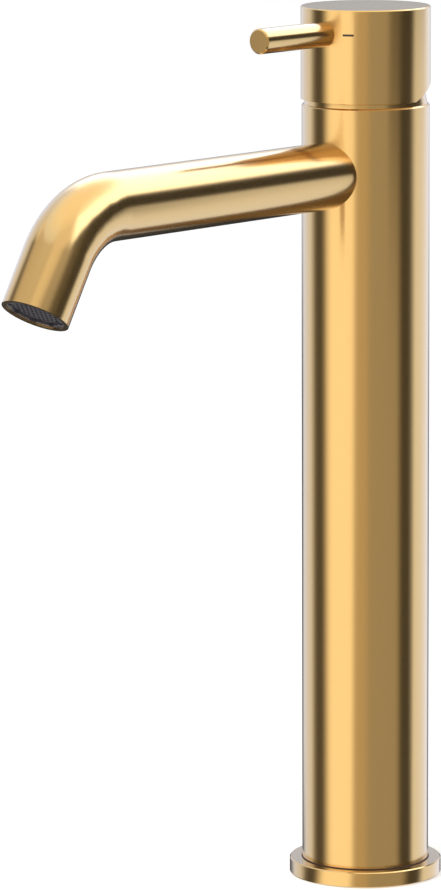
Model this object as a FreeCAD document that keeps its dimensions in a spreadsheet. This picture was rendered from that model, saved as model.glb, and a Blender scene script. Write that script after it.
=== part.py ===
"""Tall single-lever basin mixer, built as the assembly that comes apart on a bench.

The frame has +Z up and the spout along -Y. Its origin is the centre of the base, on the deck.
All lengths are in millimetres and all angles in degrees.
"""
import FreeCAD, Part
import math
import os
import re

import Sketcher

X_AXIS = FreeCAD.Vector(1, 0, 0)
UPRIGHT = FreeCAD.Rotation()
FORWARD = FreeCAD.Rotation(X_AXIS, 90)

# Driving sizes: name, value and what it measures.
SIZES = [
    ("overall_height", 310.0, "deck to the top of the handle cap"),
    ("flange_overhang", 4.5, "base flange, out from the column"),
    ("flange_height", 5.5, "base flange"),
    ("flange_chamfer", 0.35, "edges of the base flange"),
    ("foot_spigot_radius", 18.5, "foot insert inside the flange"),
    ("gasket_inner_radius", 20.0, "deck gasket"),
    ("gasket_width", 3.0, "deck gasket, across the ring"),
    ("gasket_height", 1.6, "deck gasket"),
    ("column_radius", 22.5, "outside of the column tube"),
    ("column_wall", 2.2, "column tube"),
    ("column_chamfer", 0.5, "top edge of the column"),
    ("foot_height", 20.0, "foot insert, from the deck"),
    ("hose_passage_radius", 11.0, "opening for the supply hoses"),
    ("stud_hole_radius", 2.5, "tapped hole for a fixing stud"),
    ("stud_spacing", 30.0, "between the two fixing studs"),
    ("fit_gap", 0.1, "radial play of pieces that slide into each other"),
    ("running_gap", 0.3, "play between pieces that move past each other"),
    ("cap_overhang", 0.3, "handle cap, out from the column"),
    ("cap_height", 32.5, "handle cap"),
    ("cap_chamfer", 0.4, "top edge of the handle cap"),
    ("cap_gap", 1.7, "shadow gap between the column and the cap"),
    ("lift_angle", 24.0, "travel of the lever, and slope of the cap's rear bevel"),
    ("pivot_drop", 2.7, "lever pivot below the top of the column"),
    ("dome_inset", 0.65, "ball-shaped trim ring under the cap, in from the column"),
    ("dome_wall", 1.3, "trim ring"),
    ("dome_foot", 2.4, "solid foot of the trim ring above the column"),
    ("dome_opening", 14.5, "hole in the trim ring for the stem"),
    ("lever_drop", 8.6, "lever axis below the top of the cap"),
    ("lever_radius", 4.4, "lever rod"),
    ("lever_reach", 57.7, "column axis to the lever's tip"),
    ("lever_chamfer", 0.5, "tip of the lever"),
    ("lever_seat", 6.0, "depth of the lever rod in the cap"),
    ("lever_stud_radius", 3.0, "threaded stud of the lever"),
    ("grub_length", 6.0, "grub screw on the stem"),
    ("grub_socket", 1.5, "hexagon socket of the grub screw, across half its flats"),
    ("mark_width", 4.0, "index mark engraved in the cap"),
    ("mark_height", 0.7, "index mark"),
    ("mark_depth", 0.35, "index mark"),
    ("mark_angle", 24.0, "index mark, round from the lever"),
    ("spout_drop", 23.8, "spout axis below the top of the column"),
    ("spout_radius", 11.75, "spout tube"),
    ("spout_wall", 2.0, "spout tube"),
    ("spigot_radius", 8.0, "tail of the spout, brazed through the column"),
    ("spigot_wall", 1.5, "tail of the spout"),
    ("spigot_length", 3.6, "tail of the spout, in from the column's face"),
    ("spout_plug", 6.0, "solid root of the spout outside the column"),
    ("bend_start", 134.2, "column axis to the start of the bend"),
    ("bend_radius", 30.5, "spout bend, on its centreline"),
    ("bend_angle", 58.8, "spout bend, down from level"),
    ("leg_length", 21.1, "straight end of the spout"),
    ("aerator_radius", 10.25, "counterbore for the aerator"),
    ("aerator_depth", 11.0, "counterbore for the aerator"),
    ("aerator_recess", 0.6, "aerator behind the spout's rim"),
    ("aerator_wall", 1.7, "aerator housing"),
    ("aerator_seal_height", 1.5, "washer behind the aerator"),
    ("aerator_lip", 0.8, "step that holds the aerator's discs"),
    ("key_notch_width", 2.2, "notches for the aerator key"),
    ("key_notch_depth", 1.4, "notches for the aerator key"),
    ("screen_thickness", 1.2, "outlet screen"),
    ("screen_recess", 0.9, "outlet screen behind the housing's rim"),
    ("screen_pitch", 1.9, "between the holes of the screen"),
    ("screen_hole_radius", 0.65, "holes of the screen"),
    ("diffuser_thickness", 1.6, "flow diffuser"),
    ("diffuser_hole_radius", 0.8, "holes of the diffuser"),
    ("lever_arm", 14.0, "pivot to the ball that drives the discs"),
    ("ball_radius", 2.5, "ball at the lower end of the stem"),
    ("ball_play", 0.35, "ball in its slot, along the disc's travel"),
    ("stem_radius", 4.0, "stem at the pivot"),
    ("stem_neck_radius", 2.2, "stem above its ball"),
    ("stem_square", 8.0, "square end of the stem, across its flats"),
    ("stem_overlap", 3.2, "stem above the lever axis, in the cap"),
    ("pin_radius", 1.5, "pivot pin"),
    ("pin_play", 0.05, "pivot pin in the stem"),
    ("carrier_radius", 11.0, "stem carrier"),
    ("carrier_rise", 2.7, "stem carrier above the pivot"),
    ("driver_height", 3.3, "disc driver"),
    ("disc_thickness", 3.0, "each ceramic disc"),
    ("disc_play", 0.2, "fixed disc in the cartridge barrel"),
    ("disc_offset", 2.9, "moving disc behind the axis when closed"),
    ("mixing_pocket_radius", 8.0, "pocket under the moving disc"),
    ("base_plate_thickness", 3.0, "cartridge base"),
    ("valve_wall", 1.8, "valve body round the water space"),
    ("barrel_wall", 1.8, "cartridge barrel"),
    ("shoulder_thickness", 3.0, "cartridge shoulder"),
    ("neck_wall", 1.7, "cartridge neck"),
    ("nut_height", 6.0, "retaining nut"),
    ("nut_notch_width", 4.0, "spanner notches of the retaining nut"),
    ("nut_notch_depth", 2.5, "spanner notches of the retaining nut"),
    ("chamber_gap", 1.0, "water space round the cartridge"),
    ("chamber_land", 3.4, "rim of the valve body that guides the cartridge"),
    ("valve_floor", 24.0, "solid floor of the valve body"),
    ("inlet_offset", 6.0, "water inlets from the axis"),
    ("inlet_radius", 4.5, "tapped inlet for a supply hose"),
    ("inlet_depth", 12.0, "tapped inlet"),
    ("port_radius", 2.6, "water ways through the floor and the discs"),
    ("outlet_offset", 9.0, "outlet of the cartridge, forward of the axis"),
    ("port_seal_width", 1.4, "seal round each water way"),
    ("port_seal_height", 1.2, "seal round each water way"),
    ("ring_section", 0.8, "radius of an O-ring's section"),
    ("ring_spacing", 8.0, "between the two O-rings of the valve body"),
]

KEY_NOTCHES = 8
NUT_NOTCHES = 4
DIFFUSER_HOLES = 12
SCREEN_ROWS = 4

doc = FreeCAD.newDocument("basin_mixer")
sheet = doc.addObject("Spreadsheet::Sheet", "Sizes")
for row, (alias, number, note) in enumerate(SIZES, 1):
    sheet.set(f"A{row}", alias)
    sheet.set(f"B{row}", str(number))
    sheet.setAlias(f"B{row}", alias)
    sheet.set(f"C{row}", note)
doc.recompute()

ALIASES = re.compile(r"\b(" + "|".join(alias for alias, _, _ in SIZES) + r")\b")

# Levels and radii that several pieces share, worked out from the driving sizes.
COLUMN_BORE = "(column_radius - column_wall)"
INSERT_RADIUS = f"({COLUMN_BORE} - fit_gap)"
FLANGE_RADIUS = "(column_radius + flange_overhang)"
CAP_RADIUS = "(column_radius + cap_overhang)"
DOME_RADIUS = "(column_radius - dome_inset)"
CARTRIDGE_RADIUS = f"({INSERT_RADIUS} - valve_wall - chamber_gap)"
BARREL_BORE = f"({CARTRIDGE_RADIUS} - barrel_wall)"
FIXED_DISC_RADIUS = f"({BARREL_BORE} - disc_play)"
MOVING_DISC_RADIUS = f"({BARREL_BORE} - disc_offset - disc_play - fit_gap)"
CAP_FOOT = "(overall_height - cap_height)"
COLUMN_TOP = f"({CAP_FOOT} - cap_gap)"
PIVOT = f"({COLUMN_TOP} - pivot_drop)"
LEVER = "(overall_height - lever_drop)"
SPOUT = f"({COLUMN_TOP} - spout_drop)"
BALL = f"({PIVOT} - lever_arm)"
DRIVER_FOOT = f"({BALL} - ball_radius - running_gap)"
CARRIER_FOOT = f"({DRIVER_FOOT} + driver_height + running_gap)"
MOVING_FOOT = f"({DRIVER_FOOT} - disc_thickness)"
FIXED_FOOT = f"({MOVING_FOOT} - disc_thickness)"
SEAT = f"({FIXED_FOOT} - base_plate_thickness)"
SHOULDER = f"({CARRIER_FOOT} + shoulder_thickness)"
NUT_TOP = f"({SHOULDER} + nut_height)"
NECK_BORE = "(carrier_radius + fit_gap)"
NECK_RADIUS = f"({NECK_BORE} + neck_wall)"
VALVE_FOOT = f"({SEAT} - valve_floor)"
VALVE_TOP = f"({SHOULDER} - running_gap)"
CAVITY_RADIUS = f"({DOME_RADIUS} + running_gap)"
SPIGOT_END = "(column_radius - spigot_length)"
PLUG_END = "(column_radius + spout_plug)"
BEND = "(bend_angle * 1deg)"
OUTLET_Y = f"(-bend_start - bend_radius * sin({BEND}) - leg_length * cos({BEND}))"
OUTLET_Z = f"({SPOUT} - bend_radius * (1 - cos({BEND})) - leg_length * sin({BEND}))"
LEG_Y = f"(-bend_start - bend_radius * sin({BEND}))"
LEG_Z = f"({SPOUT} - bend_radius * (1 - cos({BEND})))"
LEG_TURN = "(90 + bend_angle)"
AERATOR_RADIUS = "(aerator_radius - fit_gap)"
AERATOR_BORE = f"({AERATOR_RADIUS} - aerator_wall)"
AERATOR_TOP = "(aerator_seal_height - aerator_depth)"

nodes = {}


def bound(expression):
    """The expression with each driving size named as a cell of the sheet."""
    return ALIASES.sub(r"Sizes.\1", expression)


def number(expression):
    """What an expression of driving sizes comes to."""
    found = sheet.evalExpression(bound(expression))
    return float(getattr(found, "Value", found))


def keep(label, piece):
    """Names a finished piece and lists it for export."""
    piece.Label = label
    nodes[label] = piece
    return piece


def place(piece, at, turn=UPRIGHT, turn_angle=None):
    """Puts a piece at a point given by expressions, turned by a rotation or about X by an expression."""
    if turn_angle is not None:
        turn = FreeCAD.Rotation(X_AXIS, number(turn_angle))
    piece.Placement = FreeCAD.Placement(FreeCAD.Vector(*[number(c) for c in at]), turn)
    for axis, coordinate in zip("xyz", at):
        piece.setExpression(f"Placement.Base.{axis}", bound(coordinate))
    if turn_angle is not None:
        piece.setExpression("Placement.Rotation.Angle", bound(turn_angle))
    return piece


def primitive(kind, name, sizes, at=("0", "0", "0"), turn=UPRIGHT, turn_angle=None):
    """A Part primitive whose properties are bound to expressions."""
    piece = doc.addObject(f"Part::{kind}", name)
    for prop, expression in sizes.items():
        piece.setExpression(prop, bound(expression))
    return place(piece, at, turn, turn_angle)


def rod(name, radius, height, at=("0", "0", "0"), turn=UPRIGHT, turn_angle=None):
    """A cylinder that starts at a point and runs along its turned Z."""
    return primitive("Cylinder", name, {"Radius": radius, "Height": height}, at, turn, turn_angle)


def fuse(name, *pieces):
    """The pieces joined into one solid."""
    joined = doc.addObject("Part::MultiFuse", name)
    joined.Shapes = list(pieces)
    joined.Refine = True
    return joined


def cut(name, base, *tools):
    """The base with every tool taken away."""
    left = doc.addObject("Part::Cut", name)
    left.Base = base
    left.Tool = tools[0] if len(tools) == 1 else fuse(name + "_tools", *tools)
    left.Refine = True
    return left


def turned(name, outline):
    """A body turned about Z from an outline of (radius, height) corners, each bound to the sheet."""
    body = doc.addObject("PartDesign::Body", name)
    sketch = body.newObject("Sketcher::SketchObject", name + "_outline")
    plane = next(f for f in body.Origin.OriginFeatures if f.Role == "XZ_Plane")
    sketch.AttachmentSupport = [(plane, "")]
    sketch.MapMode = "FlatFace"
    corners = [FreeCAD.Vector(number(r), number(z), 0) for r, z in outline]
    count = len(corners)
    for i in range(count):
        sketch.addGeometry(Part.LineSegment(corners[i], corners[(i + 1) % count]), False)
    for i in range(count):
        sketch.addConstraint(Sketcher.Constraint("Coincident", i, 2, (i + 1) % count, 1))
    for i, corner in enumerate(outline):
        for kind, axis_line, expression in zip(("DistanceX", "DistanceY"), (-2, -1), corner):
            if expression == "0":
                sketch.addConstraint(Sketcher.Constraint("PointOnObject", i, 1, axis_line))
                continue
            held = sketch.addConstraint(
                Sketcher.Constraint(kind, -1, 1, i, 1, number(expression))
            )
            sketch.setExpression(f"Constraints[{held}]", bound(expression))
    spin = body.newObject("PartDesign::Revolution", name + "_spin")
    spin.Profile = sketch
    spin.ReferenceAxis = (sketch, ["V_Axis"])
    spin.Angle = 360
    return body


def ring(name, inner, outer, foot, top):
    """A turned ring of rectangular section."""
    return turned(name, [(inner, foot), (outer, foot), (outer, top), (inner, top)])


def round_pattern(name, count, radius, hole, foot, height):
    """Rods in a circle about Z, as one cutting tool."""
    ring_radius = number(radius)
    tools = []
    for i in range(count):
        turn = 2 * math.pi * i / count
        centre = FreeCAD.Vector(ring_radius * math.cos(turn), ring_radius * math.sin(turn), number(foot))
        tools.append(Part.makeCylinder(number(hole), number(height), centre))
    tool = doc.addObject("Part::Feature", name)
    tool.Shape = Part.makeCompound(tools)
    return tool


def radial_notches(name, count, inner, outer, width, foot, height):
    """Straight notches in a circle about Z, as one cutting tool."""
    low, wide = number(inner), number(width)
    tools = []
    for i in range(count):
        notch = Part.makeBox(
            number(outer) - low, wide, number(height), FreeCAD.Vector(low, -wide / 2, number(foot))
        )
        notch.rotate(FreeCAD.Vector(), FreeCAD.Vector(0, 0, 1), 360 * i / count)
        tools.append(notch)
    tool = doc.addObject("Part::Feature", name)
    tool.Shape = Part.makeCompound(tools)
    return tool


def hexagon_holes(name, rows, pitch, hole, foot, height):
    """Holes on a triangular grid about Z, as one cutting tool."""
    step = number(pitch)
    tools = []
    for i in range(-rows, rows + 1):
        for j in range(-rows, rows + 1):
            if abs(i + j) > rows:
                continue
            centre = FreeCAD.Vector(step * (i + j / 2), step * j * math.sqrt(3) / 2, number(foot))
            tools.append(Part.makeCylinder(number(hole), number(height), centre))
    tool = doc.addObject("Part::Feature", name)
    tool.Shape = Part.makeCompound(tools)
    return tool


def at_outlet(piece):
    """Puts a piece modelled about Z at the spout's outlet, with +Z pointing out of it."""
    return place(piece, ("0", OUTLET_Y, OUTLET_Z), turn_angle=LEG_TURN)


def build_base():
    """Base flange, deck gasket and the foot insert that carries the fixing studs."""
    flange = turned("flange_disc", [
        ("foot_spigot_radius", "0"),
        (f"{FLANGE_RADIUS} - flange_chamfer", "0"),
        (FLANGE_RADIUS, "flange_chamfer"),
        (FLANGE_RADIUS, "flange_height - flange_chamfer"),
        (f"{FLANGE_RADIUS} - flange_chamfer", "flange_height"),
        ("foot_spigot_radius", "flange_height"),
    ])
    groove = ring("gasket_groove", "gasket_inner_radius", "gasket_inner_radius + gasket_width",
                  "0", "gasket_height")
    keep("base_flange", cut("flange_cut", flange, groove))
    keep("deck_gasket", ring("gasket_ring", "gasket_inner_radius",
                             "gasket_inner_radius + gasket_width", "0", "gasket_height"))
    insert = turned("foot_turned", [
        ("hose_passage_radius", "0"),
        ("foot_spigot_radius - fit_gap", "0"),
        ("foot_spigot_radius - fit_gap", "flange_height"),
        (INSERT_RADIUS, "flange_height"),
        (INSERT_RADIUS, "foot_height"),
        ("hose_passage_radius", "foot_height"),
    ])
    studs = [
        rod(f"stud_hole_{side}", "stud_hole_radius", "foot_height + 2", (f"{sign}stud_spacing / 2", "0", "-1"))
        for side, sign in (("left", "-"), ("right", ""))
    ]
    keep("foot_insert", cut("foot_cut", insert, *studs))


def build_column():
    """Column tube with its chamfered top and the hole that the spout's tail goes through."""
    tube = turned("column_tube", [
        (COLUMN_BORE, "flange_height"),
        ("column_radius", "flange_height"),
        ("column_radius", f"{COLUMN_TOP} - column_chamfer"),
        ("column_radius - column_chamfer", COLUMN_TOP),
        (COLUMN_BORE, COLUMN_TOP),
    ])
    hole = rod("spout_hole", "spigot_radius", "column_radius + 5", ("0", "0", SPOUT), FORWARD)
    keep("column", cut("column_cut", tube, hole))


def spout_run(name, radius, start):
    """The spout's level run, bend and leg as one solid of a given radius."""
    level = rod(name + "_level", radius, f"bend_start - {start}", ("0", f"-{start}", SPOUT), FORWARD)
    bend = primitive(
        "Torus", name + "_bend",
        {"Radius1": "bend_radius", "Radius2": radius, "Angle3": "bend_angle"},
        ("0", "-bend_start", f"{SPOUT} - bend_radius"),
        FreeCAD.Rotation(FreeCAD.Vector(0, 0, 1), FreeCAD.Vector(0, -1, 0), X_AXIS, "XYZ"),
    )
    leg = rod(name + "_leg", radius, "leg_length", ("0", LEG_Y, LEG_Z), turn_angle=LEG_TURN)
    return fuse(name, level, bend, leg)


def build_spout():
    """Bent spout tube, saddle-cut to the column, with its brazed tail and the aerator's counterbore."""
    outside = cut("spout_saddle", spout_run("spout_outside", "spout_radius", "0"),
                  rod("saddle_tool", "column_radius", "overall_height"))
    tail = rod("spout_tail", "spigot_radius", f"{PLUG_END} - {SPIGOT_END}",
               ("0", f"-{SPIGOT_END}", SPOUT), FORWARD)
    bore = spout_run("spout_bore", "spout_radius - spout_wall", PLUG_END)
    tail_bore = rod("spout_tail_bore", "spigot_radius - spigot_wall", PLUG_END, ("0", "0", SPOUT), FORWARD)
    seat = at_outlet(rod("aerator_seat", "aerator_radius", "aerator_depth + 1"))
    place(seat, ("0", f"{OUTLET_Y} + aerator_depth * cos({BEND})", f"{OUTLET_Z} + aerator_depth * sin({BEND})"),
          turn_angle=LEG_TURN)
    keep("spout", cut("spout_cut", fuse("spout_solid", outside, tail), bore, tail_bore, seat))


def build_aerator():
    """Aerator insert: housing with key notches, outlet screen, flow diffuser and washer."""
    rim = "(-aerator_recess)"
    screen_top = "(-aerator_recess - screen_recess)"
    screen_foot = f"({screen_top} - screen_thickness)"
    diffuser_top = f"({AERATOR_TOP} + diffuser_thickness)"
    lip = f"({AERATOR_BORE} - aerator_lip)"
    shell = turned("aerator_shell", [
        (AERATOR_BORE, rim), (AERATOR_BORE, screen_foot), (lip, screen_foot), (lip, diffuser_top),
        (AERATOR_BORE, diffuser_top), (AERATOR_BORE, AERATOR_TOP),
        (AERATOR_RADIUS, AERATOR_TOP), (AERATOR_RADIUS, rim),
    ])
    notches = radial_notches("key_notches", KEY_NOTCHES, f"{AERATOR_BORE} - 1", f"{AERATOR_RADIUS} - 0.6",
                             "key_notch_width", f"{rim} - key_notch_depth", "key_notch_depth + 1")
    keep("aerator_housing", at_outlet(cut("aerator_cut", shell, notches)))
    disc = rod("screen_disc", f"{AERATOR_BORE} - fit_gap / 2", "screen_thickness", ("0", "0", screen_foot))
    holes = hexagon_holes("screen_holes", SCREEN_ROWS, "screen_pitch", "screen_hole_radius",
                          f"{screen_foot} - 1", "screen_thickness + 2")
    keep("aerator_screen", at_outlet(cut("screen_cut", disc, holes)))
    plate = rod("diffuser_disc", f"{AERATOR_BORE} - fit_gap / 2", "diffuser_thickness",
                ("0", "0", AERATOR_TOP))
    jets = round_pattern("diffuser_jets", DIFFUSER_HOLES, f"{lip} * 0.75", "diffuser_hole_radius",
                         f"{AERATOR_TOP} - 1", "diffuser_thickness + 2")
    keep("aerator_diffuser", at_outlet(cut("diffuser_cut", plate, jets)))
    keep("aerator_washer", at_outlet(ring("washer_ring", AERATOR_BORE, AERATOR_RADIUS,
                                          "-aerator_depth", AERATOR_TOP)))


def water_ways(name, foot, height):
    """The hot and cold ways through a floor or disc."""
    return [
        rod(f"{name}_{side}", "port_radius", height, (f"{sign}inlet_offset", "0", foot))
        for side, sign in (("hot", "-"), ("cold", ""))
    ]


def build_valve_body():
    """Brass valve body in the column: cartridge chamber, tapped inlets, spout port and O-ring grooves."""
    chamber = f"({CARTRIDGE_RADIUS} + chamber_gap)"
    guide = f"({CARTRIDGE_RADIUS} + fit_gap)"
    land = f"({VALVE_TOP} - chamber_land)"
    ring_level = f"({VALVE_FOOT} + ring_spacing / 2)"
    block = turned("valve_block", [
        ("0", VALVE_FOOT), (INSERT_RADIUS, VALVE_FOOT), (INSERT_RADIUS, VALVE_TOP), (guide, VALVE_TOP),
        (guide, land), (chamber, land), (chamber, SEAT), ("0", SEAT),
    ])
    tools = water_ways("valve_way", VALVE_FOOT, "valve_floor + 1")
    for side, sign in (("hot", "-"), ("cold", "")):
        tools.append(rod(f"inlet_{side}", "inlet_radius", "inlet_depth + 1",
                         (f"{sign}inlet_offset", "0", f"{VALVE_FOOT} - 1")))
    tools.append(rod("spout_port", "spigot_radius", "column_radius + 5", ("0", "0", SPOUT), FORWARD))
    rings = []
    for i in range(2):
        level = f"({ring_level} + {i} * ring_spacing)"
        tools.append(ring(f"ring_groove_{i}", f"{COLUMN_BORE} - 2 * ring_section", "column_radius",
                          f"{level} - ring_section - fit_gap", f"{level} + ring_section + fit_gap"))
        rings.append(primitive("Torus", f"o_ring_{i}",
                               {"Radius1": f"{COLUMN_BORE} - ring_section", "Radius2": "ring_section"},
                               ("0", "0", level)))
    keep("valve_body", cut("valve_cut", block, *tools))
    pair = doc.addObject("Part::Compound", "o_ring_pair")
    pair.Links = rings
    keep("valve_body_o_rings", pair)


def build_cartridge():
    """Ceramic cartridge: base, seals, housing, discs, driver, carrier, pivot pin and stem."""
    plate = rod("base_disc", CARTRIDGE_RADIUS, "base_plate_thickness", ("0", "0", SEAT))
    outlet = rod("base_outlet", "port_radius", "base_plate_thickness + 2",
                 ("0", "-outlet_offset", f"{SEAT} - 1"))
    channel = primitive("Box", "base_channel", {
        "Length": "2 * port_radius", "Width": CARTRIDGE_RADIUS, "Height": "base_plate_thickness / 2 + 1",
    }, ("-port_radius", f"-outlet_offset - {CARTRIDGE_RADIUS}", f"{SEAT} - 1"))
    grooves, seals = [], []
    for side, sign in (("hot", "-"), ("cold", "")):
        for group, kind in ((grooves, "groove"), (seals, "seal")):
            body = ring(f"port_{kind}_{side}", "port_radius + 0.4", "port_radius + 0.4 + port_seal_width",
                        "0", "port_seal_height")
            group.append(place(body, (f"{sign}inlet_offset", "0", SEAT)))
    keep("cartridge_base", cut("base_cut", plate, outlet, channel, *grooves,
                               *water_ways("base_way", f"{SEAT} - 1", "base_plate_thickness + 2")))
    pair = doc.addObject("Part::Compound", "port_seal_pair")
    pair.Links = seals
    keep("cartridge_seals", pair)
    barrel_top = f"({CARRIER_FOOT} - fit_gap)"
    keep("cartridge_housing", turned("housing_turned", [
        (BARREL_BORE, FIXED_FOOT), (CARTRIDGE_RADIUS, FIXED_FOOT), (CARTRIDGE_RADIUS, SHOULDER),
        (NECK_RADIUS, SHOULDER), (NECK_RADIUS, f"{PIVOT} + carrier_rise"),
        (NECK_BORE, f"{PIVOT} + carrier_rise"), (NECK_BORE, barrel_top), (BARREL_BORE, barrel_top),
    ]))
    disc = rod("fixed_plate", FIXED_DISC_RADIUS, "disc_thickness", ("0", "0", FIXED_FOOT))
    disc_outlet = rod("fixed_outlet", "port_radius", "disc_thickness + 2",
                      ("0", "-outlet_offset", f"{FIXED_FOOT} - 1"))
    keep("fixed_ceramic_disc", cut("fixed_cut", disc, disc_outlet,
                                   *water_ways("fixed_way", f"{FIXED_FOOT} - 1", "disc_thickness + 2")))
    slider = rod("moving_plate", MOVING_DISC_RADIUS, "disc_thickness", ("0", "disc_offset", MOVING_FOOT))
    pocket = rod("mixing_pocket", "mixing_pocket_radius", "disc_thickness / 2 + 1",
                 ("0", "disc_offset", f"{MOVING_FOOT} - 1"))
    keep("moving_ceramic_disc", cut("moving_cut", slider, pocket))
    driver = rod("driver_plate", MOVING_DISC_RADIUS, "driver_height", ("0", "disc_offset", DRIVER_FOOT))
    slot = primitive("Box", "ball_slot", {
        "Length": "2 * (ball_radius + fit_gap)", "Width": "2 * (ball_radius + ball_play)",
        "Height": "driver_height + 2",
    }, ("-ball_radius - fit_gap", "-ball_radius - ball_play", f"{DRIVER_FOOT} - 1"))
    keep("disc_driver", cut("driver_cut", driver, slot))
    build_stem()


def build_stem():
    """Stem carrier that turns in the neck, its pivot pin, and the stem that tilts on it."""
    sweep = "(lift_angle * 1deg)"
    slot_front = f"((lever_arm * sin({sweep}) + stem_neck_radius + 1))"
    slot_back = f"(carrier_rise * tan({sweep}) + stem_radius / cos({sweep}) + running_gap)"
    core = rod("carrier_core", "carrier_radius", f"{PIVOT} + carrier_rise - {CARRIER_FOOT}",
               ("0", "0", CARRIER_FOOT))
    slot = primitive("Box", "stem_slot", {
        "Length": "2 * (stem_radius + fit_gap)", "Width": f"{slot_front} + {slot_back}", "Height": "lever_arm * 2",
    }, ("-stem_radius - fit_gap", f"-{slot_front}", f"{PIVOT} - 1.4 * lever_arm"))
    across = FreeCAD.Rotation(FreeCAD.Vector(0, 1, 0), 90)
    pin_half = "(carrier_radius - 0.5)"
    pin_hole = rod("carrier_pin_hole", "pin_radius", "2 * carrier_radius + 2",
                   ("-carrier_radius - 1", "0", PIVOT), across)
    keep("stem_carrier", cut("carrier_cut", core, slot, pin_hole))
    keep("pivot_pin", rod("pin_rod", "pin_radius", f"2 * {pin_half}", (f"-{pin_half}", "0", PIVOT), across))
    neck_top = f"({PIVOT} - lever_arm / 2 + 1)"
    square_foot = f"({PIVOT} + carrier_rise + stem_radius)"
    stem_top = f"({LEVER} + stem_overlap)"
    ball = primitive("Sphere", "stem_ball", {"Radius": "ball_radius"}, ("0", "0", BALL))
    neck = rod("stem_neck", "stem_neck_radius", f"{neck_top} - {BALL}", ("0", "0", BALL))
    shank = rod("stem_shank", "stem_radius", f"{square_foot} - {neck_top}", ("0", "0", neck_top))
    square = primitive("Box", "stem_end", {
        "Length": "stem_square", "Width": "stem_square", "Height": f"{stem_top} - {square_foot}",
    }, ("-stem_square / 2", "-stem_square / 2", square_foot))
    bearing = rod("stem_bearing", "pin_radius + pin_play", "4 * stem_radius",
                  ("-2 * stem_radius", "0", PIVOT), across)
    keep("lever_stem", cut("stem_cut", fuse("stem_solid", ball, neck, shank, square), bearing))


def build_top():
    """Retaining nut and the ball-shaped trim ring that shows under the cap."""
    nut = ring("nut_ring", f"{NECK_RADIUS} + running_gap", INSERT_RADIUS, SHOULDER, NUT_TOP)
    notches = radial_notches("nut_notches", NUT_NOTCHES, f"{INSERT_RADIUS} - nut_notch_depth", "column_radius",
                             "nut_notch_width", f"{NUT_TOP} - nut_notch_depth", "nut_notch_depth + 1")
    keep("retaining_nut", cut("nut_cut", nut, notches))
    step = f"({COLUMN_TOP} + dome_foot)"
    ball = primitive("Sphere", "dome_ball", {
        "Radius": DOME_RADIUS, "Angle1": f"asin(pivot_drop / {DOME_RADIUS})",
    }, ("0", "0", PIVOT))
    skirt = rod("dome_skirt", INSERT_RADIUS, f"{COLUMN_TOP} + 1 - {NUT_TOP}", ("0", "0", NUT_TOP))
    skirt_bore = rod("dome_skirt_bore", f"{INSERT_RADIUS} - dome_wall", f"{step} + 1 - {NUT_TOP}",
                     ("0", "0", f"{NUT_TOP} - 1"))
    hollow = primitive("Sphere", "dome_hollow", {
        "Radius": f"{DOME_RADIUS} - dome_wall",
        "Angle1": f"asin((pivot_drop + dome_foot) / ({DOME_RADIUS} - dome_wall))",
    }, ("0", "0", PIVOT))
    opening = rod("dome_hole", "dome_opening", f"2 * {DOME_RADIUS}", ("0", "0", PIVOT))
    keep("dome_ring", cut("dome_cut", fuse("dome_solid", ball, skirt), skirt_bore, hollow, opening))


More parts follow.
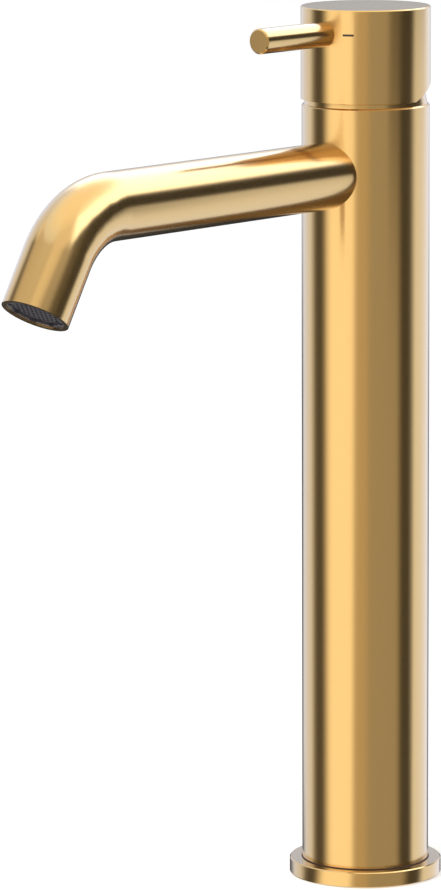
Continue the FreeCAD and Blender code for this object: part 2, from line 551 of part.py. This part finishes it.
def build_handle():
    """Handle cap with its rear bevel, the lever rod and the grub screw that holds the stem."""
    shell = turned("cap_turned", [
        ("0", CAP_FOOT), (CAP_RADIUS, CAP_FOOT), (CAP_RADIUS, "overall_height - cap_chamfer"),
        (f"{CAP_RADIUS} - cap_chamfer", "overall_height"), ("0", "overall_height"),
    ])
    cavity = primitive("Sphere", "cap_cavity", {"Radius": CAVITY_RADIUS}, ("0", "0", PIVOT))
    slope = "(lift_angle * 1deg)"
    side = f"(3 * {CAP_RADIUS})"
    bevel = primitive("Box", "cap_bevel", {"Length": side, "Width": side, "Height": "cap_height"}, (
        f"-{side} / 2",
        f"-{side} / 2 * cos({slope}) + cap_height * sin({slope})",
        f"{CAP_FOOT} - {side} / 2 * sin({slope}) - cap_height * cos({slope})",
    ), turn_angle="lift_angle")
    socket = primitive("Box", "stem_socket", {
        "Length": "stem_square + fit_gap", "Width": "stem_square + fit_gap",
        "Height": f"{LEVER} + stem_overlap + fit_gap - {PIVOT}",
    }, ("-(stem_square + fit_gap) / 2", "-(stem_square + fit_gap) / 2", PIVOT))
    rod_hole = rod("lever_hole", "lever_radius", "lever_seat + 5",
                   ("0", f"lever_seat - {CAP_RADIUS}", LEVER), FORWARD)
    stud_hole = rod("lever_stud_hole", "lever_stud_radius", CAP_RADIUS, ("0", "0", LEVER), FORWARD)
    mark_turn = FreeCAD.Rotation(FreeCAD.Vector(0, 0, 1), number("mark_angle"))
    mark = primitive("Box", "mark_tool", {
        "Length": "mark_width", "Width": "mark_depth + 1", "Height": "mark_height",
    }, (
        f"-mark_width / 2 * cos(mark_angle * 1deg) + ({CAP_RADIUS} + 1) * sin(mark_angle * 1deg)",
        f"-mark_width / 2 * sin(mark_angle * 1deg) - ({CAP_RADIUS} + 1) * cos(mark_angle * 1deg)",
        f"{LEVER} - mark_height / 2",
    ), mark_turn)
    keep("handle_cap", cut("cap_cut", shell, cavity, bevel, socket, rod_hole, stud_hole, mark))
    stud_end = "(stem_square / 2 + fit_gap + grub_length + 0.5)"
    lever = turned("lever_turned", [
        ("0", stud_end), ("lever_stud_radius", stud_end), ("lever_stud_radius", f"{CAP_RADIUS} - lever_seat"),
        ("lever_radius", f"{CAP_RADIUS} - lever_seat"), ("lever_radius", "lever_reach - lever_chamfer"),
        ("lever_radius - lever_chamfer", "lever_reach"), ("0", "lever_reach"),
    ])
    keep("lever_rod", place(lever, ("0", "0", LEVER), FORWARD))
    grub = rod("grub_core", "lever_stud_radius", "grub_length", ("0", "-stem_square / 2", LEVER), FORWARD)
    key = primitive("Prism", "grub_key", {"Circumradius": "grub_socket", "Height": "grub_length / 2 + 1"},
                    ("0", "-stem_square / 2 - grub_length / 2", LEVER), FORWARD)
    keep("grub_screw", cut("grub_cut", grub, key))


def check_and_export():
    """Stops on a failed feature or a bad shape, then writes one STEP file for each piece."""
    failed = [o.Label for o in doc.Objects if "Invalid" in o.State or "Error" in o.State]
    if failed:
        raise RuntimeError(f"these features failed: {failed}")
    for label, piece in nodes.items():
        if piece.Shape.isNull() or not piece.Shape.isValid() or not piece.Shape.Solids:
            raise RuntimeError(f"{label} has no valid solid")
    os.makedirs("parts", exist_ok=True)
    for label, piece in nodes.items():
        piece.Shape.exportStep(os.path.join("parts", label + ".step"))
        print(label, len(piece.Shape.Solids), round(piece.Shape.Volume, 1))


build_base()
build_column()
build_spout()
build_aerator()
build_valve_body()
build_cartridge()
build_top()
build_handle()
doc.recompute()
check_and_export()
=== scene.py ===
"""Looks of a tall basin mixer in satin gold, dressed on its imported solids.

Lengths are in metres unless a name says mm. The frame has +Z up and the spout along -Y.
"""
import logging
import math
from dataclasses import dataclass, field, replace
from enum import Enum

import bpy
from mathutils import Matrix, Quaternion, Vector


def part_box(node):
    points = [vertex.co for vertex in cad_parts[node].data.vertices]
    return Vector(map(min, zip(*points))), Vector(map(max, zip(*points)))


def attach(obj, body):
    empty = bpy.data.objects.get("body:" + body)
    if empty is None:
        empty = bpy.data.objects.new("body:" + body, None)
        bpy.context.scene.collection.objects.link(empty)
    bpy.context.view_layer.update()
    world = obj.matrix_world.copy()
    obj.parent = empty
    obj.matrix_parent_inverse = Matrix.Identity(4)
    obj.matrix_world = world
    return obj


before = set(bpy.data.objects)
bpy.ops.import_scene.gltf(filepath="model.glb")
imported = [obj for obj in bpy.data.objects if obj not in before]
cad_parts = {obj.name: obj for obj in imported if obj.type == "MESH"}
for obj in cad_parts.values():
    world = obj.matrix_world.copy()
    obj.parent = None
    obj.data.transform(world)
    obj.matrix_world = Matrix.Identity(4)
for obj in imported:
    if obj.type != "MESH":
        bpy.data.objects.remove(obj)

LOG = logging.getLogger("basin_mixer")
MM = 0.001
# The three whites of the studio: plain, as from a window, and as from a warm lamp.
NEUTRAL_WHITE = "FFFFFF"
COOL_WHITE = "D8E5FF"
WARM_WHITE = "FFF4E2"
# The camera's angle about the column, from the spout's side towards +X.
CAMERA_AZIMUTH = math.radians(39.36)
# How many times longer than wide a brush line is.
BRUSH_STRETCH = 14.0
# Sockets of the colour mix, by number because the mix of plain numbers has the same socket names.
MIX_FIRST = 6
MIX_SECOND = 7
MIX_RESULT = 2
# Heights beyond the tent, for panels that run down to its foot or up to its roof.
BELOW_TENT = -9.0
ABOVE_TENT = 9.0

Point = tuple[float, float, float]
Face = tuple[int, ...]


class Body(Enum):
    """The rigid bodies that the added pieces ride on."""

    FIXED = "body"
    HANDLE = "handle"


class Lay(Enum):
    """The way a brushed finish runs on a piece: how many times finer its grain is along X, Y and Z."""

    AROUND_Z = (1.0, 1.0, BRUSH_STRETCH)
    ALONG_Y = (BRUSH_STRETCH, 1.0, BRUSH_STRETCH)
    EVEN = (1.0, 1.0, 1.0)


def linear(code: str) -> tuple[float, float, float, float]:
    """Turns an sRGB hex colour to linear light.

    Args:
        code: six hex digits.

    Returns:
        Linear red, green, blue and an alpha of 1.
    """
    parts = [int(code[i:i + 2], 16) / 255 for i in (0, 2, 4)]
    light = [c / 12.92 if c <= 0.04045 else ((c + 0.055) / 1.055) ** 2.4 for c in parts]
    return (light[0], light[1], light[2], 1.0)


def around(turn: float, reach: float, height: float) -> Point:
    """A place about the column's axis.

    Args:
        turn: the angle from the spout's side towards +X.
        reach: the distance from the axis.
        height: the height above the deck.

    Returns:
        The place in the frame.
    """
    return (reach * math.sin(turn), -reach * math.cos(turn), height)


def add_node(tree: bpy.types.NodeTree, kind: str, settings: dict[str, object] | None = None,
             links: dict[str | int, bpy.types.NodeSocket] | None = None) -> bpy.types.Node:
    """Adds one node with its settings and links.

    Args:
        tree: the node tree.
        kind: the node's type name.
        settings: values by input name, or by property name for what isn't an input.
        links: output sockets by input name or number.

    Returns:
        The new node.
    """
    node = tree.nodes.new(kind)
    for name, value in (settings or {}).items():
        if name in node.inputs:
            node.inputs[name].default_value = value
        else:
            setattr(node, name, value)
    for name, socket in (links or {}).items():
        tree.links.new(socket, node.inputs[name])
    return node


def fresh_material(name: str) -> bpy.types.Material:
    """Makes an empty material with a node tree.

    Args:
        name: the material's name.

    Returns:
        The new material.
    """
    material = bpy.data.materials.new(name)
    material.use_nodes = True
    material.node_tree.nodes.clear()
    return material


@dataclass(frozen=True)
class Finish:
    """One surface: what it is made of, how it was made, and the grain that gives the eye.

    grain_mm is the length of one grain, and a brushed lay draws it BRUSH_STRETCH times narrower.
    relief_mm is the grain's depth in the bump, and coat the share of clear lacquer on top.
    """

    name: str
    colour: str
    second: str
    metallic: float
    roughness: float
    roughness_swing: float
    grain_mm: float
    relief_mm: float
    lay: Lay = Lay.EVEN
    grain_detail: float = 3.0
    grain_breakup: float = 0.6
    coat: float = 0.0
    coat_roughness: float = 0.2

    def build(self) -> bpy.types.Material:
        """Makes the finish's material.

        Returns:
            A material whose colour, roughness and relief vary with its grain.
        """
        material = fresh_material(self.name)
        tree = material.node_tree
        place = add_node(tree, "ShaderNodeTexCoord")
        stretch = add_node(tree, "ShaderNodeMapping", {"Scale": self.lay.value},
                           {"Vector": place.outputs["Object"]})
        grain = add_node(tree, "ShaderNodeTexNoise", {
            "Scale": 1 / (self.grain_mm * MM),
            "Detail": self.grain_detail,
            "Roughness": self.grain_breakup,
        }, {"Vector": stretch.outputs["Vector"]})
        tint = add_node(tree, "ShaderNodeMix", {"data_type": "RGBA"}, {"Factor": grain.outputs["Fac"]})
        tint.inputs[MIX_FIRST].default_value = linear(self.colour)
        tint.inputs[MIX_SECOND].default_value = linear(self.second)
        gloss = add_node(tree, "ShaderNodeMapRange", {
            "To Min": self.roughness - self.roughness_swing,
            "To Max": self.roughness + self.roughness_swing,
        }, {"Value": grain.outputs["Fac"]})
        relief = add_node(tree, "ShaderNodeBump", {"Strength": 1.0, "Distance": self.relief_mm * MM},
                          {"Height": grain.outputs["Fac"]})
        shader = add_node(tree, "ShaderNodeBsdfPrincipled", {
            "Metallic": self.metallic,
            "Coat Weight": self.coat,
            "Coat Roughness": self.coat_roughness,
        }, {
            "Base Color": tint.outputs[MIX_RESULT],
            "Roughness": gloss.outputs["Result"],
            "Normal": relief.outputs["Normal"],
        })
        add_node(tree, "ShaderNodeOutputMaterial", {}, {"Surface": shader.outputs["BSDF"]})
        return material


# Brushed brass, plated satin gold and lacquered clear: wide, soft-edged reflections with faint lines
# round the column. Real brush lines are near 0.05 mm wide, too fine to show, and are drawn at 0.25 mm.
SATIN_GOLD = Finish("satin_gold_plating", "DAAF66", "D6AA60", metallic=1.0, roughness=0.17,
                    roughness_swing=0.02, grain_mm=3.5, relief_mm=0.0004, lay=Lay.AROUND_Z, coat=1.0)
# The same plating on the spout and the lever, where the brush ran along the tube.
SATIN_GOLD_TUBE = replace(SATIN_GOLD, name="satin_gold_tube", lay=Lay.ALONG_Y)
# Machined brass without plating: yellower, with turning marks.
RAW_BRASS = Finish("machined_brass", "C9A24E", "B98F3E", metallic=1.0, roughness=0.30,
                   roughness_swing=0.05, grain_mm=0.4, relief_mm=0.002, lay=Lay.AROUND_Z)
# Turned stainless steel: grey and fairly bright.
STEEL = Finish("turned_stainless_steel", "B9B9B6", "A9A9A6", metallic=1.0, roughness=0.28,
               roughness_swing=0.05, grain_mm=0.4, relief_mm=0.001, lay=Lay.AROUND_Z)
# Moulded nitrile rubber: almost black, dull.
RUBBER = Finish("moulded_rubber", "1C1C1D", "232324", metallic=0.0, roughness=0.65,
                roughness_swing=0.08, grain_mm=0.3, relief_mm=0.006)
# Dull rubber bead at the column's foot, coloured dark brown as painted shade for the gap between the column
# and the flange and its dark reflection, warm beside the gold.
GAP_SHADE_BROWN = Finish("painted_gap_shade_brown", "3B2713", "432D17", metallic=0.0, roughness=0.6,
                      roughness_swing=0.08, grain_mm=0.3, relief_mm=0.004)
# Moulded acetal of the aerator: dark grey with a slight sheen.
GREY_ACETAL = Finish("moulded_grey_acetal", "4A484C", "423F44", metallic=0.0, roughness=0.38,
                     roughness_swing=0.04, grain_mm=0.4, relief_mm=0.003)
# Moulded glass-filled nylon of the cartridge: warm white, dull.
WHITE_NYLON = Finish("moulded_white_nylon", "E2DFD6", "D9D5CA", metallic=0.0, roughness=0.5,
                     roughness_swing=0.05, grain_mm=0.5, relief_mm=0.004)
# Lapped alumina of the discs: off-white and smooth.
ALUMINA = Finish("lapped_alumina", "EDEBE4", "E6E3DA", metallic=0.0, roughness=0.18,
                 roughness_swing=0.03, grain_mm=0.2, relief_mm=0.0005)
# Enamel that fills the index mark: dark brown and smooth.
DARK_ENAMEL = Finish("dark_enamel", "2A221B", "2F261E", metallic=0.0, roughness=0.4,
                     roughness_swing=0.03, grain_mm=0.3, relief_mm=0.001)


@dataclass
class FinishShelf:
    """Keeps each finish's material, so that it is made once."""

    made: dict[str, bpy.types.Material] = field(default_factory=dict)

    def material(self, finish: Finish) -> bpy.types.Material:
        """Gives a finish's material, and makes it on first use.

        Args:
            finish: the finish.

        Returns:
            Its material.
        """
        if finish.name not in self.made:
            self.made[finish.name] = finish.build()
        return self.made[finish.name]

    def dress(self, piece: bpy.types.Object, finish: Finish) -> None:
        """Gives a piece one finish all over.

        Args:
            piece: a mesh object.
            finish: the finish it takes.
        """
        piece.data.materials.clear()
        piece.data.materials.append(self.material(finish))


def mesh_piece(name: str, verts: list[Point], faces: list[Face], smooth: bool) -> bpy.types.Object:
    """Makes a mesh object and links it to the scene.

    Args:
        name: the piece's name.
        verts: corner positions.
        faces: corner numbers of each face.
        smooth: whether its faces are shaded smooth.

    Returns:
        The new object.
    """
    mesh = bpy.data.meshes.new(name)
    mesh.from_pydata(verts, [], faces)
    mesh.polygons.foreach_set("use_smooth", [smooth] * len(mesh.polygons))
    mesh.update()
    piece = bpy.data.objects.new(name, mesh)
    bpy.context.scene.collection.objects.link(piece)
    return piece


@dataclass
class SubAssembly:
    """CAD nodes that are dressed together, with the finish of each."""

    title: str
    finishes: dict[str, Finish]
    smooth_angle: float = math.radians(30)
    seam_gap: float = 0.002 * MM

    def dress(self, shelf: FinishShelf) -> None:
        """Gives every node of the sub-assembly its finish and logs it.

        Args:
            shelf: where the materials are kept.
        """
        for node, finish in self.finishes.items():
            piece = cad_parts[node]
            shelf.dress(piece, finish)
            if finish in (SATIN_GOLD, SATIN_GOLD_TUBE):
                self.join_seams(piece)
            LOG.info("%s: %s in %s", self.title, node, finish.name)

    def join_seams(self, piece: bpy.types.Object) -> None:
        """Joins the seams between a solid's patches, so that its round faces shade as one.

        Args:
            piece: a node of the frame.
        """
        piece.modifiers.new("seams", "WELD").merge_threshold = self.seam_gap
        edges = piece.modifiers.new("hard_edges", "EDGE_SPLIT")
        edges.split_angle = self.smooth_angle
        edges.use_edge_sharp = False
        piece.modifiers.new("even_shading", "WEIGHTED_NORMAL")


@dataclass
class HandleMark:
    """Dark enamel in the index mark that is engraved in the handle cap."""

    cap_radius: float = 22.8 * MM
    depth: float = 0.12 * MM
    thickness: float = 0.15 * MM
    width: float = 3.9 * MM
    height: float = 0.66 * MM
    level: float = 301.4 * MM
    angle: float = math.radians(24.0)
    steps: int = 12

    def build(self, shelf: FinishShelf) -> bpy.types.Object:
        """Builds the enamel as a strip that follows the cap's round wall.

        Args:
            shelf: where the materials are kept.

        Returns:
            The strip, riding on the handle.
        """
        radius = self.cap_radius - self.depth
        half = self.width / 2 / self.cap_radius
        verts, faces = [], []
        for i in range(self.steps + 1):
            turn = self.angle - half + 2 * half * i / self.steps
            for reach in (radius - self.thickness, radius):
                for z in (self.level - self.height / 2, self.level + self.height / 2):
                    verts.append(around(turn, reach, z))
        for i in range(self.steps):
            a, b = 4 * i, 4 * i + 4
            faces += [(a + 2, b + 2, b + 3, a + 3), (a + 1, a + 3, b + 3, b + 1),
                      (a, b, b + 2, a + 2), (a, a + 1, b + 1, b)]
        last = 4 * self.steps
        faces += [(0, 2, 3, 1), (last, last + 1, last + 3, last + 2)]
        piece = mesh_piece("index_mark_enamel", verts, faces, False)
        shelf.dress(piece, DARK_ENAMEL)
        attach(piece, Body.HANDLE.value)
        LOG.info("handle: %s", piece.name)
        return piece


@dataclass
class FootShadeBead:
    """A thin bead whose dark colour paints the shadow gap between the column's foot and the flange as a dark
    line.
    """

    bead_radius: float = 0.2 * MM
    overlap: float = 0.1 * MM
    steps: int = 128
    bead_steps: int = 10

    def build(self, shelf: FinishShelf) -> bpy.types.Object:
        """Builds the bead of painted shade round the column, on top of the flange.

        Args:
            shelf: where the materials are kept.

        Returns:
            The bead, riding on the fixed body.
        """
        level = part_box("base_flange")[1][2] + self.bead_radius - self.overlap
        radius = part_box("column")[1][0] + self.bead_radius - self.overlap
        verts, faces = [], []
        for i in range(self.steps):
            turn = 2 * math.pi * i / self.steps
            this = self.bead_steps * i
            after = self.bead_steps * ((i + 1) % self.steps)
            for j in range(self.bead_steps):
                roll = 2 * math.pi * j / self.bead_steps
                reach = radius + self.bead_radius * math.cos(roll)
                verts.append((reach * math.cos(turn), reach * math.sin(turn),
                              level + self.bead_radius * math.sin(roll)))
                k = (j + 1) % self.bead_steps
                faces.append((this + j, after + j, after + k, this + k))
        # The bead is painted shade: its dark brown stands for the gap at the column's foot.
        piece = mesh_piece("foot_shade_bead", verts, faces, True)
        shelf.dress(piece, GAP_SHADE_BROWN)
        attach(piece, Body.FIXED.value)
        LOG.info("base: %s", piece.name)
        return piece


def soft_step(inside: float, feather: float) -> float:
    """Rises smoothly from 0 to 1.

    Args:
        inside: the distance inside an edge, below 0 where it is outside.
        feather: half the width of the rise.

    Returns:
        0 outside the rise, 1 inside it and 0.5 on the edge.
    """
    rise = min(1.0, max(0.0, (inside / feather + 1) / 2))
    return rise * rise * (3 - 2 * rise)


@dataclass(frozen=True)
class Panel:
    """A soft-edged light or dark flag on the tent's wall.

    It lies between two angles in degrees, to the right of the camera, and between two heights.
    """

    name: str
    start: float
    end: float
    low: float
    high: float
    level: float
    colour: str = NEUTRAL_WHITE
    side_feather: float = 8.0
    end_feather: float = 0.09

    def share(self, away: float, height: float) -> float:
        """The share of the wall's light that the panel gives at a place.

        Args:
            away: the angle to the right of the camera, in degrees.
            height: the height above the deck.

        Returns:
            A share from 0 to 1.
        """
        middle = (self.start + self.end) / 2
        offset = abs((away - middle + 180) % 360 - 180)
        across = soft_step((self.end - self.start) / 2 - offset, self.side_feather)
        above = soft_step(height - self.low, self.end_feather)
        return across * above * soft_step(self.high - height, self.end_feather)


@dataclass
class LightTent:
    """A round wall with a roof, which the metal mirrors and nothing else sees.

    The panels are laid on the wall in order, each over those before it. The roof fades from the
    wall's light at its rim to a level of its own in the middle.
    """

    panels: tuple[Panel, ...] = (
        Panel("front_top", -180.0, 180.0, 0.90, ABOVE_TENT, 1.10),
        Panel("key", -95.0, -18.0, BELOW_TENT, 0.55, 1.50),
        Panel("key_high", -95.0, -18.0, 0.55, 1.35, 0.80),
        Panel("back_left", -172.0, -107.0, BELOW_TENT, 1.35, 1.32, COOL_WHITE),
        Panel("left_flag", -106.0, -74.0, BELOW_TENT, 0.90, 0.10, side_feather=12.0),
        Panel("high_left", -165.0, -20.0, 1.35, ABOVE_TENT, 1.60, COOL_WHITE),
        Panel("front_left", -19.0, 4.0, BELOW_TENT, 0.90, 0.68, WARM_WHITE),
        Panel("back_right", 88.0, 172.0, BELOW_TENT, 0.45, 1.50, COOL_WHITE),
        Panel("back_edges", 156.0, 204.0, BELOW_TENT, 0.60, 0.72),
        Panel("front_flag", 42.0, 75.0, 0.14, 0.85, 0.16),
        Panel("right_flag", 63.0, 93.0, BELOW_TENT, 0.85, 0.08),
        Panel("far_flag", 82.0, 130.0, 0.25, 0.82, 0.06),
        Panel("right_high", 35.0, 150.0, 0.82, ABOVE_TENT, 3.40, COOL_WHITE),
        Panel("back_low", 158.0, 206.0, BELOW_TENT, 0.08, 0.04),
        Panel("left_low", 196.0, 218.0, BELOW_TENT, -0.25, 0.04, end_feather=0.05),
        Panel("back_flange", 168.0, 192.0, 0.08, 0.42, 0.95, COOL_WHITE, end_feather=0.05),
        Panel("back_cap", 168.0, 192.0, 0.34, 0.60, 0.36, end_feather=0.05),
        Panel("back_high", 140.0, 205.0, 0.53, 0.80, 0.95, end_feather=0.06),
        Panel("back_top", 140.0, 205.0, 0.80, ABOVE_TENT, 3.40, COOL_WHITE),
        Panel("skirt", -150.0, 90.0, BELOW_TENT, -0.45, 0.20),
    )
    plain_level: float = 0.49
    radius: float = 1.1
    wall_foot: float = -1.2
    wall_columns: int = 180
    wall_rows: int = 56
    roof_height: float = 1.6
    roof_rings: int = 20
    roof_level: float = 1.4
    roof_fade: int = 3

    def wall_light(self, away: float, height: float) -> list[float]:
        """The light of the tent's wall at a place.

        Args:
            away: the angle to the right of the camera, in degrees.
            height: the height above the deck.

        Returns:
            Linear red, green and blue.
        """
        light = [self.plain_level] * 3
        for panel in self.panels:
            share = panel.share(away, height)
            glow = [panel.level * part for part in linear(panel.colour)[:3]]
            light = [old + (new - old) * share for old, new in zip(light, glow)]
        return light

    def profile(self) -> list[Point]:
        """The tent's outline, from the wall's foot up and in over the roof.

        Returns:
            The radius, the height and the share of the roof's own light at each ring.
        """
        rise = self.roof_height - self.wall_foot
        rings = [(self.radius, self.wall_foot + rise * j / self.wall_rows, 0.0)
                 for j in range(self.wall_rows + 1)]
        for j in range(1, self.roof_rings):
            outward = 1 - j / self.roof_rings
            rings.append((self.radius * outward, self.roof_height, 1 - outward ** self.roof_fade))
        return rings

    def build(self) -> None:
        """Builds the tent as one mesh that holds its light at each corner."""
        profile = self.profile()
        ring = len(profile)
        verts, faces, light = [], [], []
        for i in range(self.wall_columns):
            away = 360 * i / self.wall_columns - 180
            turn = CAMERA_AZIMUTH + math.radians(away)
            this = ring * i
            after = ring * ((i + 1) % self.wall_columns)
            for j, (radius, height, inward) in enumerate(profile):
                verts.append(around(turn, radius, height))
                light += [old + (self.roof_level - old) * inward for old in self.wall_light(away, height)]
                light.append(1.0)
                if j:
                    faces.append((this + j - 1, after + j - 1, after + j, this + j))
        faces.append(tuple(ring * i + ring - 1 for i in range(self.wall_columns)))
        tent = mesh_piece("light_tent", verts, faces, True)
        shades = tent.data.attributes.new("light", "FLOAT_COLOR", "POINT")
        shades.data.foreach_set("color", light)
        self.hang(tent, shades.name)
        LOG.info("studio: %s with %s", tent.name, ", ".join(panel.name for panel in self.panels))

    def hang(self, tent: bpy.types.Object, shades: str) -> None:
        """Lets the tent glow, and keeps it out of everything but reflections.

        Args:
            tent: the tent's mesh.
            shades: the name of the attribute that holds its light.
        """
        material = fresh_material(tent.name)
        material.cycles.emission_sampling = "NONE"
        tree = material.node_tree
        stored = add_node(tree, "ShaderNodeAttribute", {"attribute_name": shades})
        glow = add_node(tree, "ShaderNodeEmission", {"Strength": 1.0}, {"Color": stored.outputs["Color"]})
        add_node(tree, "ShaderNodeOutputMaterial", {}, {"Surface": glow.outputs["Emission"]})
        tent.data.materials.append(material)
        tent.visible_camera = False
        tent.visible_diffuse = False
        tent.visible_shadow = False


@dataclass
class Studio:
    """A white room with a pale floor, the light tent, a soft lamp and the camera."""

    tent: LightTent = field(default_factory=LightTent)
    world_level: float = 0.6
    white_level: float = 1.0
    floor_half: float = 6.0
    floor_drop: float = 0.2 * MM
    floor_colour: str = "F4F4F4"
    floor_glow: float = 0.45
    lamp_width: float = 0.9
    lamp_depth: float = 0.6
    lamp_watts: float = 9.0
    lamp_turn: float = math.radians(-50)
    lamp_reach: float = 1.0
    lamp_height: float = 1.45
    lamp_aim: Point = (0.0, -0.05, 0.15)
    camera_distance: float = 1.92
    camera_height: float = 0.474
    camera_turn: float = math.radians(1.53)
    camera_pitch: float = math.radians(9.45)
    camera_roll: float = math.radians(-0.22)
    clip_near: float = 0.05
    clip_far: float = 50.0
    sensor_mm: float = 36.0
    focal_px: float = 5500.0
    picture_px: float = 890.0

    def build_world(self) -> None:
        """Sets the world: white where it is seen or mirrored, and a plain soft level elsewhere."""
        world = bpy.data.worlds.new("studio")
        world.use_nodes = True
        tree = world.node_tree
        tree.nodes.clear()
        white = linear(NEUTRAL_WHITE)
        path = add_node(tree, "ShaderNodeLightPath")
        seen = add_node(tree, "ShaderNodeMath", {"operation": "MAXIMUM"},
                        {0: path.outputs["Is Camera Ray"], 1: path.outputs["Is Glossy Ray"]})
        clear = add_node(tree, "ShaderNodeMath", {"operation": "MAXIMUM"},
                         {0: seen.outputs["Value"], 1: path.outputs["Is Transmission Ray"]})
        soft = add_node(tree, "ShaderNodeBackground", {"Color": white, "Strength": self.world_level})
        backdrop = add_node(tree, "ShaderNodeBackground", {"Color": white, "Strength": self.white_level})
        mixed = add_node(tree, "ShaderNodeMixShader", {}, {
            0: clear.outputs["Value"],
            1: soft.outputs["Background"],
            2: backdrop.outputs["Background"],
        })
        add_node(tree, "ShaderNodeOutputWorld", {}, {"Surface": mixed.outputs["Shader"]})
        bpy.context.scene.world = world

    def build_floor(self) -> None:
        """Builds the pale floor, which takes the shadow and stays out of reflections."""
        half = self.floor_half
        floor = mesh_piece("floor", [(-half, -half, 0), (half, -half, 0), (half, half, 0), (-half, half, 0)],
                           [(0, 1, 2, 3)], False)
        floor.location.z = -self.floor_drop
        material = fresh_material("pale_floor")
        tree = material.node_tree
        matt = add_node(tree, "ShaderNodeBsdfDiffuse", {"Color": linear(self.floor_colour)})
        glow = add_node(tree, "ShaderNodeEmission",
                        {"Color": linear(NEUTRAL_WHITE), "Strength": self.floor_glow})
        both = add_node(tree, "ShaderNodeAddShader", {},
                        {0: matt.outputs["BSDF"], 1: glow.outputs["Emission"]})
        add_node(tree, "ShaderNodeOutputMaterial", {}, {"Surface": both.outputs["Shader"]})
        floor.data.materials.append(material)
        floor.visible_glossy = False

    def build_lamp(self) -> None:
        """Adds one soft lamp above and to the left of the camera."""
        lamp = bpy.data.lights.new("soft_key", "AREA")
        lamp.shape = "RECTANGLE"
        lamp.size = self.lamp_width
        lamp.size_y = self.lamp_depth
        lamp.energy = self.lamp_watts
        holder = bpy.data.objects.new("soft_key", lamp)
        holder.location = around(CAMERA_AZIMUTH + self.lamp_turn, self.lamp_reach, self.lamp_height)
        aim = Vector(self.lamp_aim) - holder.location
        holder.rotation_euler = aim.to_track_quat("-Z", "Y").to_euler()
        holder.visible_glossy = False
        bpy.context.scene.collection.objects.link(holder)

    def build_camera(self) -> None:
        """Places the camera at the photograph's viewing angle."""
        data = bpy.data.cameras.new("camera")
        data.sensor_width = self.sensor_mm
        data.lens = self.focal_px * data.sensor_width / self.picture_px
        data.clip_start = self.clip_near
        data.clip_end = self.clip_far
        camera = bpy.data.objects.new("camera", data)
        camera.location = around(CAMERA_AZIMUTH, self.camera_distance, self.camera_height)
        turn = CAMERA_AZIMUTH + self.camera_turn
        level = math.cos(self.camera_pitch)
        ahead = Vector((-math.sin(turn) * level, math.cos(turn) * level, -math.sin(self.camera_pitch)))
        roll = Quaternion((0, 0, 1), self.camera_roll)
        camera.rotation_euler = (ahead.to_track_quat("-Z", "Y") @ roll).to_euler()
        bpy.context.scene.collection.objects.link(camera)
        bpy.context.scene.camera = camera

    def build(self) -> None:
        """Builds the whole studio."""
        self.build_world()
        self.tent.build()
        self.build_floor()
        self.build_lamp()
        self.build_camera()
        bpy.context.scene.view_settings.view_transform = "Standard"


SUB_ASSEMBLIES = (
    SubAssembly("base", {"base_flange": SATIN_GOLD, "deck_gasket": RUBBER, "foot_insert": RAW_BRASS}),
    SubAssembly("column", {
        "column": SATIN_GOLD, "dome_ring": SATIN_GOLD, "valve_body": RAW_BRASS, "valve_body_o_rings": RUBBER,
    }),
    SubAssembly("spout", {
        "spout": SATIN_GOLD_TUBE, "aerator_housing": GREY_ACETAL, "aerator_screen": GREY_ACETAL,
        "aerator_diffuser": WHITE_NYLON, "aerator_washer": RUBBER,
    }),
    SubAssembly("cartridge", {
        "cartridge_base": WHITE_NYLON, "cartridge_seals": RUBBER, "cartridge_housing": WHITE_NYLON,
        "fixed_ceramic_disc": ALUMINA, "moving_ceramic_disc": ALUMINA, "disc_driver": WHITE_NYLON,
        "stem_carrier": WHITE_NYLON, "pivot_pin": STEEL, "lever_stem": STEEL, "retaining_nut": RAW_BRASS,
    }),
    SubAssembly("handle", {"handle_cap": SATIN_GOLD, "lever_rod": SATIN_GOLD_TUBE, "grub_screw": STEEL}),
)


def main() -> None:
    """Dresses every piece, adds the dark foot bead and the index mark's enamel, and builds the studio."""
    logging.basicConfig(level=logging.INFO, format="%(name)s %(message)s")
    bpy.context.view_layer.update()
    shelf = FinishShelf()
    for part in SUB_ASSEMBLIES:
        part.dress(shelf)
    # A dark bead of painted shade marks the gap at the column's foot.
    FootShadeBead().build(shelf)
    HandleMark().build(shelf)
    Studio().build()
    bpy.context.view_layer.update()


if __name__ == "__main__":
    main()
